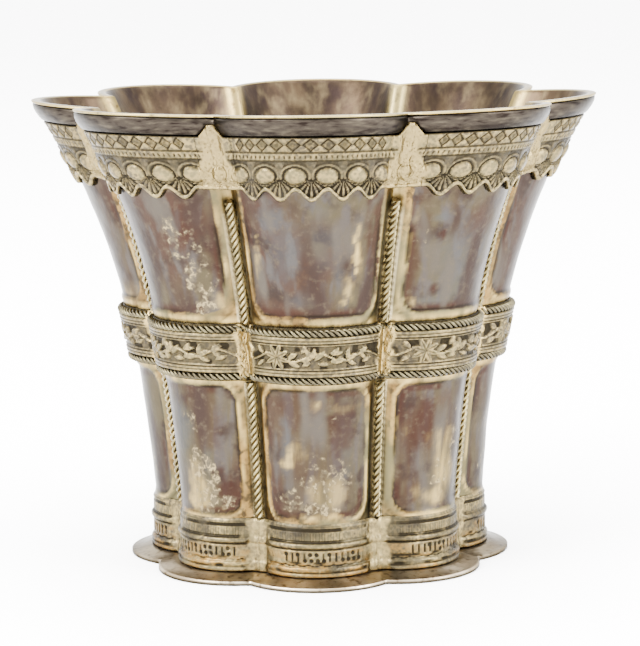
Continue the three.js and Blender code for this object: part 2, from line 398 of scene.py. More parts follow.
def linear(code):
    """An sRGB hex colour as linear red, green, blue and alpha."""
    parts = [int(code[i : i + 2], 16) / 255 for i in (1, 3, 5)]
    return [p / 12.92 if p <= 0.04045 else ((p + 0.055) / 1.055) ** 2.4 for p in parts] + [1.0]


def new_material(name):
    """An empty material and what adds a node to it."""
    material = bpy.data.materials.new(name)
    material.use_nodes = True
    material.node_tree.nodes.clear()
    return material, partial(add_node, material.node_tree)


def per_metre(size_mm):
    """The scale of a pattern on object coordinates whose spots are this many mm across."""
    return 1 / (size_mm * MM)


def clouds(add, size_mm, detail=2.0, stretch=(1, 1, 1)):
    """A noise with spots of this size. A stretch under 1 draws them out along its axis."""
    return add("noise", add("stretch", add("place"), stretch), per_metre(size_mm), detail)


def scatter(add, noise, level, amount):
    """A level that a noise raises and lowers, over a whole swing of this amount."""
    return add("add", level, add("multiply", add("subtract", noise, 0.5), amount))


def layered(add, colour, *layers):
    """A colour with others laid over it in turn. A layer is a mask and its colour, or else a noise, the
    two values between which the layer sets in, and its colour."""
    for *mask, code in layers:
        factor = mask[0] if len(mask) == 1 else add("step", *mask)
        colour = add("blend", factor, colour, linear(code))
    return colour


def finish_metal(add, colour, roughness, relief, depth_mm, strength, tint):
    """Joins a metal's colour, roughness and relief. A tint under white dulls its glare at the sides."""
    normal = add("bump", relief, depth_mm * MM, strength)
    add("surface", add("metal", colour, 1.0, roughness, linear(tint), normal))


def tarnished_silver():
    """Raised silver sheet, burnished and then tarnished: brown and violet in the panels, grey where it
    is thin, with a painted pale gold sheen on the raised frames and beside the belt, and painted shade in its
    creases."""
    material, add = new_material("tarnished raised silver")
    cloud = clouds(add, 16, 3.0, (1, 1, 0.5))
    streak = clouds(add, 2.6, 4.0, (1, 1, 0.12))
    blotch = clouds(add, 5, 4.0)
    grain = clouds(add, 1.3, 4.0)
    swirl = clouds(add, 1.8, 5.0)
    band = clouds(add, 7, 2.0, (1, 1, 0.18))
    upright = clouds(add, 6, 3.0, (1, 1, 0.2))
    hammered = clouds(add, 0.9, 5.0, (0.3, 0.3, 1.4))
    marks = ("frame_in", "inner", "deep", "bare", "valley", "lip", "dark", *AGE_AND_PAINTED_LIGHT)
    field = {name: add("field", attribute_name=name) for name in marks}
    tarnish = layered(
        add,
        linear("#251B16"),
        (cloud, 0.36, 0.6, "#2D281D"),
        (streak, 0.46, 0.66, "#2D2926"),
        (blotch, 0.48, 0.7, "#1C1613"),
        # Painted blue-grey reflections and painted shade, with the tarnish of these colours
        (add("multiply", field["blue_tarnish_and_reflection"], 0.7), "#2C2E2F"),
        (add("multiply", field["brown_tarnish_and_shade"], 0.85), "#1E120E"),
        # Upright bands, dark and light: uneven tarnish, the light ones painted as vertical sheens of
        # reflected light
        (band, 0.52, 0.7, "#1E1714"),
        (band, 0.46, 0.3, "#2F2B26"),
        (add("multiply", add("step", grain, 0.5, 0.8), 0.5), "#373026"),
    )
    gold = layered(
        add,
        linear("#362917"),
        (blotch, 0.35, 0.62, "#574424"),
        (grain, 0.46, 0.66, "#282014"),
        (cloud, 0.45, 0.62, "#3D3826"),
    )
    # The border between the gold of the frames and the tarnish of the panels is ragged
    border = scatter(add, blotch, scatter(add, grain, field["frame_in"], 1.2), 1.8)
    colour = add("blend", add("step", border, -0.25, 0.3), gold, tarnish)
    rubbed = scatter(add, blotch, scatter(add, grain, field["rubbed"], 1.2), 1.0)
    rubbed = add("step", rubbed, 0.35, 0.75)
    flecks = add("multiply", rubbed, add("step", grain, 0.35, 0.6))
    contour = add("absolute", add("subtract", swirl, 0.5))
    curl = add("multiply", add("step", contour, 0.06, 0.01), add("step", grain, 0.4, 0.62))
    stain = add("multiply", field["stain"], add("step", grain, 0.3, 0.6))
    # A pale gold sheen, mostly painted highlights and partly gold showing through, then rubbed flecks and
    # curls, and stains
    colour = layered(
        add,
        colour,
        (add("multiply", field["sheen"], add("step", streak, 0.25, 0.75)), "#7F6C40"),
        (add("multiply", flecks, 0.6), "#433C2D"),
        (add("multiply", rubbed, curl), "#64583F"),
        (add("multiply", stain, 0.7), "#261B14"),
    )
    inside = layered(
        add,
        linear("#181210"),
        (upright, 0.3, 0.68, "#2C2319"),
        (streak, 0.4, 0.85, "#3F3626"),
        (blotch, 0.42, 0.85, "#15100C"),
        (field["deep"], "#7A6C55"),
    )
    colour = add("blend", field["inner"], colour, inside)
    # The rim's edge is worn pale, and the ridges inside get a painted highlight
    bare = add("multiply", field["bare"], add("step", grain, 0.2, 0.5))
    # Painted light: the metal beside the wires is painted pale to lift the shade of the valleys
    colour = layered(add, colour, (bare, "#807147"), (field["valley"], "#C2B490"))
    # The lip's roll, painted lighter towards its top
    lip_lit_top = scatter(add, blotch, scatter(add, grain, field["lip"], 0.6), 0.9)
    lip = layered(
        add,
        linear("#0D0A07"),
        (lip_lit_top, 0.2, 1.0, "#201C18"),
        (hammered, 0.5, 0.78, "#302B23"),
        (hammered, 0.5, 0.3, "#0F0B09"),
    )
    colour = add("blend", add("step", field["lip"], 0.02, 0.12), colour, lip)
    # Painted shade: in the lip's groove, under its edge, along the frames and valleys, and a darker
    # reflection inside at the back right
    colour = layered(add, colour, (field["dark"], "#0C0906"))
    relief = add("add", add("multiply", blotch, 0.6), add("multiply", streak, 0.3))
    relief = add("add", relief, add("multiply", grain, 0.15))
    finish_metal(add, colour, add("range", streak, 0.28, 0.42), relief, 0.2, 0.8, "#CACACA")
    return material


def chased_silver():
    """Chased and punched silver with worn gilding: pale and slightly rough on top, near black in the cuts."""
    material, add = new_material("chased parcel-gilt silver")
    cloud = clouds(add, 7, 3.0)
    grain = clouds(add, 0.9, 4.0)
    pits = clouds(add, 0.55, 1.0)
    pebbles = add("pebbles", add("place"), per_metre(0.7))
    field = {name: add("field", attribute_name=name) for name in ("pale", "cut", "pebble", "gilt")}
    pale = layered(
        add,
        linear("#4F4730"),
        (cloud, 0.35, 0.65, "#383226"),
        (grain, 0.42, 0.75, "#605639"),
        (add("multiply", field["pebble"], 0.8), "#857143"),
        (pebbles, 0.35, 0.6, "#685A3A"),
    )
    ground = layered(
        add,
        linear("#191713"),
        (cloud, 0.4, 0.6, "#211E19"),
        (grain, 0.5, 0.75, "#2E2920"),
    )
    cut = add("step", scatter(add, grain, field["cut"], 0.6), 0.15, 0.95)
    pitted = add("multiply", add("step", pits, 0.6, 0.72), field["pebble"])
    colour = layered(
        add,
        add("blend", field["pale"], ground, pale),
        (add("multiply", field["gilt"], add("step", grain, 0.3, 0.6)), "#54401F"),
        (cut, "#14110B"),
        (pitted, "#2A2417"),
    )
    pebbled = add("multiply", add("subtract", 1.0, pebbles), field["pebble"])
    relief = add("add", add("multiply", pebbled, 0.8), add("multiply", grain, 0.8))
    relief = add("subtract", relief, add("multiply", pitted, 0.8))
    finish_metal(add, colour, add("range", cut, 0.36, 0.6), relief, 0.2, 0.8, "#CACACA")
    return material


def wire_silver(name, light, dull, groove):
    """Twisted strands, worn bright on their crests and dark between the strands."""
    material, add = new_material(name)
    cloud = clouds(add, 5)
    grain = clouds(add, 0.8, 3.0)
    crest = scatter(add, grain, add("field", attribute_name="crest"), 0.5)
    bright = layered(add, linear(light), (cloud, 0.4, 0.6, dull))
    filled = layered(add, linear(groove), (cloud, 0.46, 0.66, dull))
    colour = add("blend", add("step", crest, 0.62, 0.84), filled, bright)
    finish_metal(add, colour, 0.36, grain, 0.08, 0.8, "#FFFFFF")
    return material


def gilt_plate():
    """Thin gilt sheet, burnished, darker on the lower part of its edge, with painted shade at its left and
    right sides.
    """
    material, add = new_material("worn gilt plate")
    grain = clouds(add, 1.3, 4.0)
    colour = layered(
        add,
        linear("#877861"),
        (clouds(add, 8, 3.0), 0.35, 0.7, "#BEAF95"),
        (grain, 0.5, 0.75, "#4C402E"),
        (add("field", attribute_name="dark"), "#17130B"),
    )
    finish_metal(add, colour, 0.3, grain, 0.08, 0.7, "#B4B4B4")
    return material


# The vessel

PANEL_CORNER = 3.6
FRAME_RISE = 0.35
UPPER_PANEL_SIDE = 4.2
UPPER_PANEL_FOOT = BELT_TOP + 2.2
UPPER_PANEL_HEAD = HEM + 8
LOWER_PANEL_SIDE = 4.3
LOWER_PANEL_HEAD = BELT_FOOT - 1.2
LOWER_PANEL_FOOT = BAND_TOP + 0.9
CREVICE = 1.9

# Dents in the sheet: mm across, depth, seed
DENTS = [(7, 0.3, 3), (2.5, 0.08, 4)]

# Wear of the lip's edge: rows above the roll, how bare the metal is there
EDGE_WEAR = [2, 3, 5, 6, 7, 8], [0, 1, 0.8, 0.25, 0.25, 0.6]
EDGE_ROWS = 9

# The lobe whose inside, at the back right, has a darker reflection painted into it than the others
DARK_INSIDE_LOBE = 3

# Marks of age on the panels, and painted highlights, reflections and shade among them: number of the lobe, mm
# across it, height, half width, half height, strength
AGE_AND_PAINTED_LIGHT = {
    # Rubbed through to pale specks
    "rubbed": [
        (7, 5.5, 73, 2.2, 5.0, 0.6), (7, 7.8, 66, 2.6, 5.0, 0.75), (7, 10.0, 60, 3.0, 4.0, 0.5),
        (7, 9.5, 68, 4.0, 9.0, 0.3), (0, 1.0, 20, 9.0, 8.0, 0.55), (0, 0.0, 16.5, 8.0, 1.8, 0.8),
        (0, 5.0, 24, 4.5, 3.0, 0.5), (0, 3.0, 37, 3.0, 1.5, 0.3), (7, 2.0, 21, 4.5, 8.0, 0.9),
        (7, 5.0, 17, 4.0, 2.5, 0.8), (7, 1.0, 34, 3.0, 5.0, 0.4), (1, -1.0, 20, 4.0, 6.0, 0.6),
        (1, 3.5, 27, 2.0, 10.0, 0.45), (1, -12.5, 70, 2.0, 6.0, 0.3), (2, -4.0, 24, 3.0, 9.0, 0.5),
        (6, 3.0, 22, 4.0, 6.0, 0.4), (4, 2.0, 68, 4.0, 8.0, 0.5), (4, -3.0, 20, 6.0, 5.0, 0.7),
        (3, 4.0, 66, 3.0, 7.0, 0.4), (5, -5.0, 70, 3.0, 6.0, 0.45), (5, 2.0, 22, 5.0, 5.0, 0.6),
    ],
    # Smooth pale gold: painted highlights and reflections, and in places gold showing through
    "sheen": [
        (0, 9.6, 71.5, 1.0, 6.0, 1.1), (0, 7.2, 63.5, 1.5, 2.6, 0.7),
        (0, 6.2, 60.8, 1.2, 0.8, 0.8), (0, -12.6, 69, 0.6, 6.0, 0.8),
        (0, -4.4, 28.5, 2.4, 2.0, 0.9), (0, -6.0, 26.0, 2.4, 1.2, 0.8),
        (0, 0.2, 39, 0.9, 1.6, 0.7), (0, 6.0, 38, 4.0, 1.0, 0.35), (7, 12.5, 60, 1.6, 3.0, 0.6),
        (7, 13.6, 32, 1.2, 7.0, 0.7), (1, -15.0, 71, 1.0, 7.0, 0.8), (1, -13.0, 59, 2.0, 2.0, 0.8),
        (1, -10.8, 32.5, 1.8, 4.5, 1.2), (1, 0.5, 24, 4.0, 8.0, 0.85),
        (1, -2.5, 17, 4.5, 3.0, 0.9), (7, 0.0, 20, 3.5, 5.5, 0.9), (7, 1.5, 16.2, 4.5, 2.2, 0.9),
        (0, 1.5, 19.5, 6.5, 4.0, 0.55), (0, 1.0, 14.7, 6.0, 0.9, 1.0), (6, 9.0, 59, 4.0, 2.0, 0.6),
        (3, -4.0, 74, 1.0, 6.0, 0.6), (5, 5.0, 34, 2.0, 3.0, 0.6), (4, 8.0, 70, 1.0, 6.0, 0.6),
    ],
    # Orange and brown stains
    "stain": [
        (0, -2.2, 66.5, 1.4, 3.0, 0.75), (0, -3.4, 64.8, 1.4, 1.2, 0.5),
        (0, 3.6, 71, 0.5, 1.6, 0.5), (7, 15.6, 73, 1.0, 9.0, 0.95), (0, 14.8, 74, 1.2, 15.0, 1.8),
        (1, -15.6, 80, 0.8, 4.0, 1.2), (7, 14.6, 66, 0.8, 5.0, 0.5), (0, 0.6, 38.6, 2.0, 2.0, 0.5),
        (1, -1.0, 38, 4.0, 2.0, 0.6), (6, 10.0, 62, 2.5, 5.0, 0.5), (2, -7.0, 72, 1.5, 4.0, 0.5),
        (4, 0.0, 75, 2.0, 3.0, 0.5),
    ],
    # Red-brown tarnish, and painted shade in dark strips beside the frames
    "brown_tarnish_and_shade": [
        (0, 2.2, 59.8, 4.0, 2.0, 0.4), (0, -3.0, 38, 6.5, 4.0, 0.7), (0, 5.0, 33, 3.5, 6.0, 0.8),
        (0, -1.0, 26, 9.0, 9.0, 0.4), (7, 7.5, 19, 2.8, 6.0, 1.0), (1, -5.5, 31, 4.5, 7.0, 1.0),
        (1, -6.0, 20, 4.0, 6.0, 0.7), (7, 5.0, 32, 4.0, 7.0, 0.6), (0, 2.0, 77, 5.0, 2.0, 0.3),
        (0, 12.6, 72, 1.3, 16.0, 0.9), (7, 10.5, 77, 5.0, 4.0, 0.7), (7, 13.0, 66, 1.6, 9.0, 0.5),
        (1, -12.6, 70, 1.6, 11.0, 0.8), (1, -8.3, 73.6, 0.8, 1.5, 0.95),
        (1, -7.2, 62.0, 0.9, 1.5, 0.95), (7, 3.0, 38, 6.0, 4.0, 0.6), (1, -8.0, 32, 1.6, 9.0, 0.6),
        (6, 5.0, 72, 4.0, 9.0, 0.8), (2, -6.0, 62, 3.0, 6.0, 0.6), (2, 0.0, 30, 6.0, 12.0, 0.5),
        (6, 0.0, 28, 6.0, 10.0, 0.4), (1, 2.0, 33, 9.0, 6.0, 0.6), (6, -2.0, 70, 6.0, 14.0, 0.6),
        (1, 0.0, 39, 7.0, 2.0, 0.5), (4, -5.0, 65, 3.0, 8.0, 0.6), (3, 6.0, 76, 4.0, 4.0, 0.6),
    ],
    # Thin blue-grey tarnish, and painted blue-grey reflections of the studio
    "blue_tarnish_and_reflection": [
        (0, -8.6, 78, 2.6, 4.0, 0.8), (0, -1.4, 61.8, 4.0, 2.6, 0.5), (0, 5.0, 68, 2.6, 6.0, 0.5),
        (7, -4.0, 72, 3.0, 12.0, 0.6), (1, -9.2, 77.5, 2.4, 1.6, 0.7),
        (1, -2.0, 68, 6.0, 10.0, 0.5), (0, -6.0, 72, 5.0, 7.0, 0.5), (0, 2.0, 72, 5.0, 9.0, 0.3),
        (1, -7.0, 59.0, 3.5, 2.0, 0.5), (0, -6.6, 30, 1.6, 9.0, 0.6), (0, 6.4, 30, 2.0, 9.0, 0.5),
        (7, -2.0, 33, 3.0, 7.0, 0.7), (7, 4.0, 30, 1.2, 9.0, 0.4), (2, 2.0, 70, 4.0, 9.0, 0.5),
        (6, -2.0, 30, 3.0, 9.0, 0.7), (6, 0.0, 68, 2.0, 9.0, 0.5), (4, 4.0, 62, 4.0, 5.0, 0.5),
    ],
}


def rounded_panel(x, z, half_width, foot, head, corner):
    """Distance inside a panel with rounded corners: positive inside it, negative outside."""
    middle, half_height = (foot + head) / 2, (head - foot) / 2
    over_x = np.abs(x) - (half_width - corner)
    over_z = np.abs(z - middle) - (half_height - corner)
    outside = np.hypot(np.maximum(over_x, 0), np.maximum(over_z, 0))
    return corner - outside - np.minimum(np.maximum(over_x, over_z), 0)


def spots(places, lobe, x, z):
    """How strongly each place is marked by the ragged-edged spots of one kind of mark, of age or of painted
    light and shade.
    """
    total = np.zeros(np.broadcast(x, z, lobe).shape)
    fine = uneven(x, z, 0.6, 18, 0.4)
    for number, across, height, half_width, half_height, strength in places:
        wander = (mottle(x, z, 1.1 * min(half_width, half_height), 17) - 0.5) + fine
        distance = np.hypot((x - across) / half_width, (z - height) / half_height) + wander
        total = np.maximum(total, np.where(lobe == number, strength * (1 - smooth(0.3, 1.2, distance)), 0))
    return total


def vessel_profile():
    """Height and growth of each ring: up the outside, over the lip, down the inside and onto the floor.
    Also the number of rings up the outside, and up to the top of the lip's roll."""
    outer = np.concatenate([
        spaced(WALL_FOOT, BAND_TOP - 0.5, COARSE_ROWS),
        spaced(BAND_TOP - 0.5, BELT_FOOT + 0.5, FINE_ROWS),
        spaced(BELT_FOOT + 0.5, BELT_TOP - 0.5, COARSE_ROWS),
        spaced(BELT_TOP - 0.5, HEM + 1, FINE_ROWS),
        spaced(HEM + 1, LIP_FOOT, COARSE_ROWS),
    ])
    roll = np.append([0.0, 0.012, 0.03], np.linspace(0.09, 1.0, 11))
    profile = [(z, 0.0) for z in outer]
    profile += [(LIP_FOOT + LIP_START + (LIP_ROLL - LIP_START) * a, np.interp(a, *LIP_SHAPE)) for a in roll]
    profile += [(EDGE_FOOT + up, out) for up, out in EDGE_SHAPE]
    profile += [(RIM + up, out) for up, out in TOP_SHAPE]
    profile += [(z, -WALL) for z in spaced(RIM - 1, DEEP_FROM, INSIDE_ROWS)]
    profile += [(z, -WALL) for z in spaced(DEEP_FROM, FLOOR + CORNER_SHAPE[0][0], DEEP_ROWS)]
    profile += [(FLOOR + up, out - WALL) for up, out in CORNER_SHAPE]
    return np.array(profile), len(outer), len(outer) + len(roll)


def make_beaker(material):
    """The vessel: its wall with framed panels and dents, its rolled lip, its inside and its floor."""
    columns, lobe = lobe_columns(VESSEL_COLUMNS)
    share = columns[0]
    profile, outer_rows, edge_row = vessel_profile()
    z, grow = profile[:, :1], profile[:, 1:]
    row = np.arange(len(profile))[:, None]
    is_outer = row < outer_rows
    on_roll = (row >= outer_rows) & (row < edge_row)
    groove = (row >= outer_rows) & (row < outer_rows + 2)
    under_edge = (row == edge_row - 1) | (row == edge_row)
    inner = row >= edge_row + EDGE_ROWS
    reach = half_length(z)
    x = share[None, :] * reach
    along = x + 70 * lobe
    to_valley = reach - np.abs(x)
    upper = rounded_panel(x, z, reach - UPPER_PANEL_SIDE, UPPER_PANEL_FOOT, UPPER_PANEL_HEAD, PANEL_CORNER)
    lower = rounded_panel(x, z, reach - LOWER_PANEL_SIDE, LOWER_PANEL_FOOT, LOWER_PANEL_HEAD, PANEL_CORNER)
    frame_in = np.where(z > BELT_MIDDLE, upper, lower)

    # The frame of a panel stands out as a bead and a step
    bead = dome((frame_in + 0.9) / 0.9)
    step = smooth(0.0, -0.5, frame_in)
    dents = sum(uneven(along, z, size, seed, depth) for size, depth, seed in DENTS)
    raised = FRAME_RISE * (0.6 * bead + 0.4 * step) + dents * (frame_in > 0)
    rings = lobed_points(columns, z, wall_plan(z), grow + np.where(is_outer, raised, 0))

    # Painted shade lies along the frames and valleys: the shadow of each frame's bead, a line in the crease
    # beside each wire and one outside each frame. The ridges inside get a painted highlight.
    worn = mottle(along, z, 5, 7)
    ridge = smooth(2.6, 0.8, to_valley) * smooth(FLOOR + 2, FLOOR + 12, z)
    crevice = near(to_valley - CREVICE, 0.4) * smooth(0.3, 0.6, worn)
    inner_line = near(frame_in - 0.1, 0.7) * patches(0.25, 0.5, along, z, 6, 9)
    outer_line = near(frame_in + 2.0, 0.6) * smooth(0.3, 0.6, worn)
    painted_shade = np.maximum(0.6 * crevice, np.maximum(0.85 * inner_line, 0.5 * outer_line))
    # Painted shade under the overhang of the lip's edge, in patches
    painted_shade_under_edge = under_edge * patches(0.35, 0.7, along, 0 * z, 9, 15) * 0.8
    # A darker reflection painted inside the lobe at the back right
    dark_reflection_back_right = inner * 0.35 * (lobe == DARK_INSIDE_LOBE) * (1 - share**2)
    edge_wear = np.interp(row - edge_row, *EDGE_WEAR) * ~inner * (row > edge_row)
    wired = np.maximum(z < LOWER_WIRE[1], between(UPPER_WIRE[0], UPPER_WIRE[1] - 2.5, z, 0.8))
    fields = {
        "frame_in": np.clip(frame_in, -6, 6),
        "inner": inner * (1 - 0.8 * ridge),
        "deep": inner * smooth(78, 35, z) * smooth(FLOOR, FLOOR + 6, z),
        # The rim's edge worn pale, and a painted highlight on the ridges inside
        "bare": edge_wear + inner * 0.5 * ridge,
        # Painted light beside the wires, against the shade of the valleys
        "valley": is_outer * 0.8 * smooth(2.1, 1.4, to_valley) * wired,
        # The lip's roll, painted lighter towards its top
        "lip": on_roll * (0.6 + 0.4 * smooth(0.1, 0.5, (z - LIP_FOOT) / LIP_ROLL)),
        # Painted shade, with a little in the lip's groove
        "dark": painted_shade_under_edge + is_outer * painted_shade + groove * 0.1 + dark_reflection_back_right,
    }
    for mark, places in AGE_AND_PAINTED_LIGHT.items():
        fields[mark] = is_outer * spots(places, lobe, x, z)

    # The gold of the sheen is strongest in the middle of each spot. Painted light: a glint along each frame's
    # bead, and pale gold painted beside the wires and beside the belt to lift their shade.
    glint = near(frame_in + 0.8, 0.7) * patches(0.35, 0.65, along, z, 4, 19) * (z < HEM)
    over_belt = smooth(2.0, 0.6, z - BELT_TOP) * (z > BELT_TOP)
    under_belt = smooth(1.2, 0.4, BELT_FOOT - z) * (z < BELT_FOOT)
    by_belt = np.maximum(over_belt, under_belt)
    painted_light = np.maximum(glint, np.maximum(0.6 * smooth(2.8, 1.4, to_valley), by_belt))
    fields["sheen"] = np.maximum(fields["sheen"] ** 1.6, is_outer * painted_light)
    # Painted shade along the inner edge of each panel, laid in with the brown tarnish
    shade = between(0.1, 1.5, frame_in, 0.3) * patches(0.35, 0.6, along, z, 8, 23)
    fields["brown_tarnish_and_shade"] = np.maximum(fields["brown_tarnish_and_shade"], is_outer * shade)
    put_in_scene(ring_mesh("vessel", rings, False, fields), material, ["beaker"])


# The frieze under the lip

LINE = 0.42
LOZENGE_PITCH = 3.5
LOZENGE_HALF_HEIGHT = 1.45
LOZENGE_CROWDING = 0.0005
BILLET_PITCH = 1.05
ARCADE_PITCH = 6.4
BOSS_HALF_WIDTH, BOSS_HALF_HEIGHT = 2.15, 1.7
BOSS_HEIGHT = 3.3
FAN_REACH = 4.6
FAN_HALF_ANGLE = math.radians(74)
FAN_LEAF_ANGLE = math.radians(21)


def lozenges(x, z, middle):
    """A row of chased lozenges with light triangles between them. They narrow a little towards the ribs."""
    turn = x / LOZENGE_PITCH * (1 + LOZENGE_CROWDING * x**2)
    cell = np.round(turn)
    inside_row = np.abs(cell) <= (LOZENGES - 1) / 2
    across, up = (turn - cell) * LOZENGE_PITCH, z - middle
    size = np.abs(across) / (LOZENGE_PITCH * 0.5) + np.abs(up) / LOZENGE_HALF_HEIGHT
    outline = near((size - 0.9) * 1.3, LINE)
    body = smooth(0.98, 0.82, size)
    ring = near(np.hypot(across, up) - 0.62, 0.4)
    return np.clip(0.62 * body + outline * 0.65 - 0.12 * ring, 0, 1) * inside_row


def arcade(x, z, foot):
    """Round bosses under arches with a fan palmette between each two, in line with the hem's scallops."""
    boss_x = x - (np.round(x / ARCADE_PITCH - 0.5) + 0.5) * ARCADE_PITCH
    fan_x = x - np.round(x / ARCADE_PITCH) * ARCADE_PITCH
    boss_z = foot + BOSS_HEIGHT
    size = np.hypot(boss_x / BOSS_HALF_WIDTH, (z - boss_z) / BOSS_HALF_HEIGHT)
    boss = dome(size)
    in_boss = size < 1
    # The upper edge of each boss is darkened: painted shade
    cut = np.where(in_boss, 0.5 * smooth(0.5, 1.0, size) * (z > boss_z), 0.5)
    pale = np.where(in_boss, 0.85, 0.1)
    rise = 0.6 * boss
    over = z > boss_z - 0.9
    groove = near((size - 1.1) * 2, LINE) * (0.5 + 0.5 * over)
    arch = near((size - 1.36) * 2, LINE) * over
    second = near((size - 1.62) * 2, LINE) * over
    cut = np.maximum(cut, np.maximum(groove * 0.85, second * 0.7)) * (1 - arch)
    pale = np.maximum(pale, arch * 0.5)
    rise = rise + 0.15 * arch
    root_z = boss_z - 0.5
    down = root_z - z
    radius = np.hypot(fan_x, down)
    turn = np.arctan2(fan_x, down)
    leaf = np.abs((turn / FAN_LEAF_ANGLE + 0.5) % 1 - 0.5) * 2
    in_fan = (np.abs(turn) < FAN_HALF_ANGLE) & (radius < FAN_REACH) & (size > 1.1)
    petal = smooth(0.62, 0.25, leaf) * smooth(0.4, 1.0, radius)
    cut = np.where(in_fan, 0.9 * (1 - petal), cut)
    pale = np.where(in_fan, petal * 0.55, pale)
    rise = np.where(in_fan, rise + 0.25 * petal, rise)
    spike = smooth(0.12, -0.12, np.abs(fan_x) - 0.3 * (z - root_z)) * (z > root_z) * (size > 1.45)
    cut = cut * (1 - spike)
    pale = np.maximum(pale, spike * 0.15)
    return cut, rise, pale


def make_frieze(material):
    """The band under the lip, with its rows of ornament and its pebbled ribs over the valleys."""
    columns, lobe = lobe_columns(FRIEZE_COLUMNS)
    share = columns[0]
    hem_reach = half_length(HEM)
    ornament = 1 - RIB_HALF_WIDTH / hem_reach
    scallop = SCALLOPS * (share + ornament) / (2 * ornament)
    wave = np.where(np.abs(share) < ornament, (1 - np.cos(2 * math.pi * scallop)) / 2, 0)
    hem_z = HEM - HEM_DEPTH * wave
    to_valley = (1 - np.abs(share)) * hem_reach
    peak = FRIEZE_TOP + RIB_PEAK * smooth(3.4, 0.2, to_valley) - 0.02
    bend = HEM + 3.5
    shoulder = FRIEZE_TOP - 0.8
    level = spaced(bend, shoulder, FRIEZE_ROWS)[:, None]
    z = np.concatenate([
        hem_z + (bend - hem_z) * np.linspace(0, 1, 26)[:-1, None],
        np.broadcast_to(level, (len(level), len(share))),
        shoulder + (peak - FRIEZE_TOP + 0.8) * np.linspace(0, 1, 6)[:, None],
    ])
    reach = half_length(z)
    x = share[None, :] * reach
    along = x + 60 * lobe
    in_arcade = z < ARCADE_TOP
    cut, rise, pale = arcade(x, z, HEM - 0.2)
    cut = np.where(in_arcade, cut, 0.0)
    pale = np.where(in_arcade, pale, 0.75)
    out = np.where(in_arcade, FRIEZE_PROUD + rise, FRIEZE_PROUD)

    # The scalloped hem ends in a bead with a line above it
    bead_z = z - hem_z
    bead = dome((bead_z - 0.4) / 0.45)
    is_bead = bead_z < 0.85
    cut = np.where(is_bead, 0.0, cut)
    pale = np.where(is_bead, 1.0, pale)
    out = np.where(is_bead, FRIEZE_PROUD + 0.35 * bead, out)
    cut = np.maximum(cut, near(bead_z - 1.0, LINE) * 0.8)

    # Lozenges and billets between chased lines
    in_lozenges = between(LOZENGE_FOOT + 0.15, FRIEZE_TOP - 0.15, z, 0.05)
    cut = np.maximum(cut, lozenges(x, z, LOZENGE_FOOT + LOZENGE_ROW / 2) * in_lozenges)
    billet_z = ARCADE_TOP + BILLET_ROW * 0.45
    billet = np.abs((x / BILLET_PITCH + 0.5) % 1 - 0.5) * BILLET_PITCH
    cut = np.maximum(cut, 0.75 * smooth(0.32, 0.18, billet) * between(billet_z - 0.4, billet_z + 0.4, z))
    for line_z in (ARCADE_TOP + 0.1, LOZENGE_FOOT - 0.25, LOZENGE_FOOT + 0.05, FRIEZE_TOP - 0.1):
        cut = np.maximum(cut, near(z - line_z, LINE) * 0.75)

    # The ribs over the valleys are pebbled and fill the crease
    to_rib = (1 - np.abs(share)) * reach
    wander = uneven(along, z, 1.6, 11, 1.8)
    rib_width = RIB_HALF_WIDTH - RIB_NARROWING * smooth(HEM + 3, LOZENGE_FOOT, z)
    rib = smooth(rib_width + 0.4, rib_width - 0.7, to_rib + wander)
    worn = patches(0.55, 0.8, along, z, 3.5, 12) * 0.5
    pits = patches(0.66, 0.8, along, z, 0.8, 14) * rib
    cut = cut * (1 - rib) * (1 - worn * in_arcade) + 0.35 * pits
    pale = np.maximum(pale * (0.66 + 0.42 * mottle(along, z, 4.5, 16)), 0.8 * rib)
    lumps = uneven(x + 90 * lobe, z, 1.1, 21, 0.28) * rib
    fill = RIB_FILL * dome(to_rib / (RIB_HALF_WIDTH - 1.0))
    fill = fill + RIB_SOFTENING * smooth(1.7, 0, to_rib)
    front = lobed_points(columns, z, wall_plan(z), out - 0.28 * cut + lumps, fill)

    # The back follows the wall, and its two edges are as high as those of the front
    back_z = np.stack([peak, hem_z])
    back = lobed_points(columns, back_z, wall_plan(back_z), SEAM)
    back[:, :, 2] = front[[-1, 0], :, 2]
    fields = {"cut": cut, "pale": pale, "pebble": 0.5 * rib}
    make_band("rim_frieze_chased", "rim_frieze", material, front, back, fields)


# The belt

FLOWER_SHIFT = 8.0
FLOWER_PETALS = 8
FLOWER_TURN = 0.3

# Length and half width of the flower's petals and of the veins in them
PETAL, VEIN = (3.0, 0.62), (2.7, 0.36)

# The stem swings this far to either side of the belt's middle, by so much of a turn to a mm
STEM_SWING, STEM_TURN, STEM_START = 0.8, 0.62, 1.1

# Leaves of one lobe: mm from the middle of the lobe and of the belt, length, half width, degrees
LEAVES = [
    (-5.6, -0.2, 2.4, 0.75, 28), (-5.4, -0.9, 2.6, 0.7, -24), (-2.6, 0.9, 2.0, 0.6, 60),
    (-3.2, -0.6, 2.6, 0.6, 8), (-0.6, -0.4, 2.6, 0.7, 118), (-0.4, -0.3, 2.4, 0.6, 80),
    (0.0, -0.5, 2.7, 0.7, 42), (-0.8, -1.0, 1.9, 0.6, 200), (0.6, -1.2, 2.2, 0.55, -8),
    (3.0, -0.9, 3.4, 0.8, 6), (3.4, 0.4, 2.2, 0.6, 48), (3.2, 0.8, 2.6, 0.55, 4),
    (6.6, -0.4, 2.2, 0.65, 78), (6.8, -0.6, 2.3, 0.65, 30), (6.8, -0.9, 2.2, 0.6, -22),
    (9.6, 0.6, 2.2, 0.6, -40), (9.4, 1.0, 2.2, 0.6, 16), (10.2, -1.3, 2.4, 0.6, 20),
    (-11.2, 0.6, 2.2, 0.6, 130), (-11.2, -0.8, 2.2, 0.6, 215),
]


